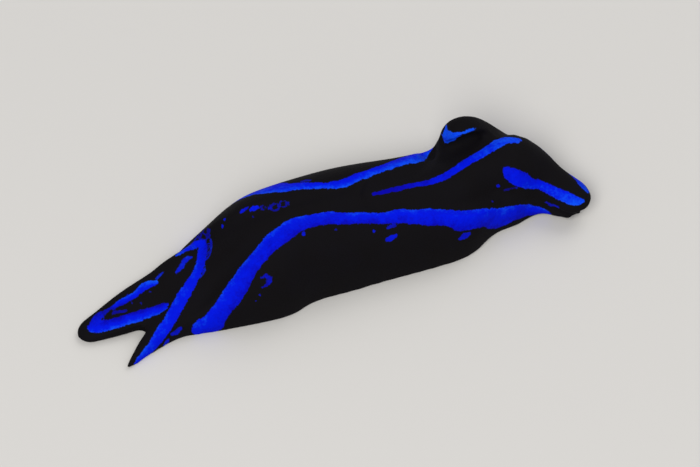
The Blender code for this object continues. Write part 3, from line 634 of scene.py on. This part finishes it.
class Shader:
    """Short calls for building one material's nodes."""

    FIRST_COLOUR = 6  # the Mix node's sockets for colours
    SECOND_COLOUR = 7
    MIXED_COLOUR = 2

    def __init__(self, name):
        self.material = bpy.data.materials.new(name)
        self.material.use_nodes = True
        self.tree = self.material.node_tree
        self.surface = self.tree.nodes["Principled BSDF"]

    def node(self, kind, **settings):
        """New node with its settings."""
        node = self.tree.nodes.new(kind)
        for key, value in settings.items():
            setattr(node, key, value)
        return node

    def feed(self, socket, value):
        """Link a socket to a socket, or set it to a number or a colour."""
        if isinstance(value, bpy.types.NodeSocket):
            self.tree.links.new(value, socket)
        else:
            socket.default_value = value

    def attribute(self, name):
        """Number stored on the mesh."""
        return self.node("ShaderNodeAttribute", attribute_name=name).outputs["Fac"]

    def math(self, operation, first, second=0.0):
        """Sum of two numbers or another operation on them."""
        node = self.node("ShaderNodeMath", operation=operation)
        self.feed(node.inputs[0], first)
        self.feed(node.inputs[1], second)
        return node.outputs[0]

    def ramp(self, value, low, high, start=0.0, end=1.0):
        """Smooth step from start to end as a number goes from low to high."""
        node = self.node("ShaderNodeMapRange", interpolation_type="SMOOTHSTEP")
        for socket, number in zip(node.inputs, (value, low, high, start, end)):
            self.feed(socket, number)
        return node.outputs[0]

    def noise(self, size, detail, roughness=0.5):
        """Noise on the animal whose patches are about this many millimetres, 0 to 1 round a half."""
        node = self.node("ShaderNodeTexNoise")
        self.feed(node.inputs["Vector"], self.node("ShaderNodeTexCoord").outputs["Object"])
        self.feed(node.inputs["Scale"], 1.0 / (size * MM))
        self.feed(node.inputs["Detail"], detail)
        self.feed(node.inputs["Roughness"], roughness)
        return node.outputs["Fac"]

    def wander(self, size, reach, detail):
        """Noise round zero that strays about this far either way."""
        return self.math("MULTIPLY", self.math("SUBTRACT", self.noise(size, detail), 0.5), 4.0 * reach)

    def cell_edge(self, size):
        """Distance from the edge between cells of about this many millimetres, in cells."""
        node = self.node("ShaderNodeTexVoronoi", feature="DISTANCE_TO_EDGE")
        self.feed(node.inputs["Vector"], self.node("ShaderNodeTexCoord").outputs["Object"])
        self.feed(node.inputs["Scale"], 1.0 / (size * MM))
        return node.outputs["Distance"]

    def relief(self, height, depth, strength, under=None):
        """Bump of this depth, laid over another one."""
        node = self.node("ShaderNodeBump")
        self.feed(node.inputs["Strength"], strength)
        self.feed(node.inputs["Distance"], depth * MM)
        self.feed(node.inputs["Height"], height)
        if under is not None:
            self.feed(node.inputs["Normal"], under)
        return node.outputs["Normal"]

    def mix(self, share, first, second):
        """Colour between two colours."""
        node = self.node("ShaderNodeMix", data_type="RGBA")
        self.feed(node.inputs["Factor"], share)
        self.feed(node.inputs[self.FIRST_COLOUR], first)
        self.feed(node.inputs[self.SECOND_COLOUR], second)
        return node.outputs[self.MIXED_COLOUR]


def velvet():
    """Black velvet skin with blue lines, whose edges wander and whose one side is lighter as a painted
    highlight.
    """
    look = Shader("velvet skin")
    ragged = look.math("ADD", look.wander(*EDGE_WANDER), look.wander(*FINE_EDGE_WANDER))
    edge = look.math("ADD", look.attribute("blue_depth"), ragged)
    mark = look.ramp(edge, -EDGE_SOFTNESS, EDGE_SOFTNESS)
    mark = look.math("MULTIPLY", mark, look.attribute("blue_strength"))
    patch = look.math("ADD", look.attribute("blue_lace"), look.wander(*LACE_WANDER))
    thread = look.ramp(look.cell_edge(LACE_CELL), *LACE_THREAD, 1.0, 0.0)
    lace = look.math("MULTIPLY", look.ramp(patch, *LACE_EDGE), thread)
    blue = look.math("MAXIMUM", mark, look.math("MULTIPLY", lace, LACE_STRENGTH))
    # lightness holds painted shade and painted highlight besides the blue's tone: deep blue where shaded,
    # pale blue where lit
    light = look.math("ADD", look.attribute("blue_tone_and_painted_light"), look.wander(*LIGHT_WANDER))
    light = look.math("ADD", light, look.wander(*FINE_LIGHT_WANDER))
    deep = look.mix(look.ramp(light, 0.0, 0.5), DEEP_BLUE, FULL_BLUE)
    blue_colour = look.mix(look.ramp(light, 0.5, 1.0), deep, PALE_BLUE)
    black = look.mix(look.noise(*BLACK_NOISE), WARM_BLACK, COOL_BLACK)
    nap = look.relief(look.noise(*NAP_NOISE), NAP_DEPTH, NAP_STRENGTH)
    wrinkles = look.relief(look.noise(*WRINKLE_NOISE), WRINKLE_DEPTH, WRINKLE_STRENGTH, nap)
    for name, value in (
            ("Base Color", look.mix(blue, black, blue_colour)), ("Roughness", VELVET_ROUGHNESS),
            ("Specular IOR Level", VELVET_GLOSS), ("Sheen Weight", SHEEN),
            ("Sheen Roughness", SHEEN_ROUGHNESS), ("Sheen Tint", SHEEN_TINT), ("Normal", wrinkles)):
        look.feed(look.surface.inputs[name], value)
    return look.material


def make_camera():
    """Long lens at the photograph's angle."""
    data = bpy.data.cameras.new("camera")
    data.sensor_width = SENSOR_WIDTH
    data.lens = SENSOR_WIDTH * VIEW_DISTANCE / VIEW_WIDTH
    data.clip_start = CLIP_START
    data.clip_end = CLIP_END
    obj = mesh_object("camera", data)
    _, _, back = view_axes()
    obj.location = (Vector(VIEW_TARGET) + back * VIEW_DISTANCE) * MM
    obj.rotation_euler = back.to_track_quat("Z", "Y").to_euler()
    bpy.context.scene.camera = obj


def make_floor():
    """Plain pale floor, not part of the animal."""
    bm = bmesh.new()
    bmesh.ops.create_grid(bm, x_segments=1, y_segments=1, size=FLOOR_SIZE)
    mesh = bpy.data.meshes.new("floor")
    bm.to_mesh(mesh)
    bm.free()
    mat = bpy.data.materials.new("floor")
    mat.use_nodes = True
    shader = mat.node_tree.nodes["Principled BSDF"]
    shader.inputs["Base Color"].default_value = FLOOR_COLOUR
    shader.inputs["Roughness"].default_value = FLOOR_ROUGHNESS
    mesh.materials.append(mat)
    mesh_object("floor", mesh)


def make_light(name, place, size, watts):
    """Soft square light aimed at the animal."""
    data = bpy.data.lights.new(name, "AREA")
    data.shape = "SQUARE"
    data.size = size
    data.energy = watts
    obj = mesh_object(name, data)
    obj.location = place
    obj.rotation_euler = Vector(place).to_track_quat("Z", "Y").to_euler()


def make_lights():
    """Soft studio light from above and beside the camera."""
    make_light("key light", *KEY_LIGHT)
    make_light("fill light", *FILL_LIGHT)
    world = bpy.data.worlds.new("world")
    world.use_nodes = True
    sky = world.node_tree.nodes["Background"]
    sky.inputs["Color"].default_value = SKY_COLOUR
    sky.inputs["Strength"].default_value = SKY_STRENGTH
    bpy.context.scene.world = world
    bpy.context.scene.view_settings.view_transform = "Standard"


skin = make_skin()
paint_lines(skin.data)
skin.data.materials.append(velvet())
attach(skin, "root")
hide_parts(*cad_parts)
make_camera()
make_floor()
make_lights()
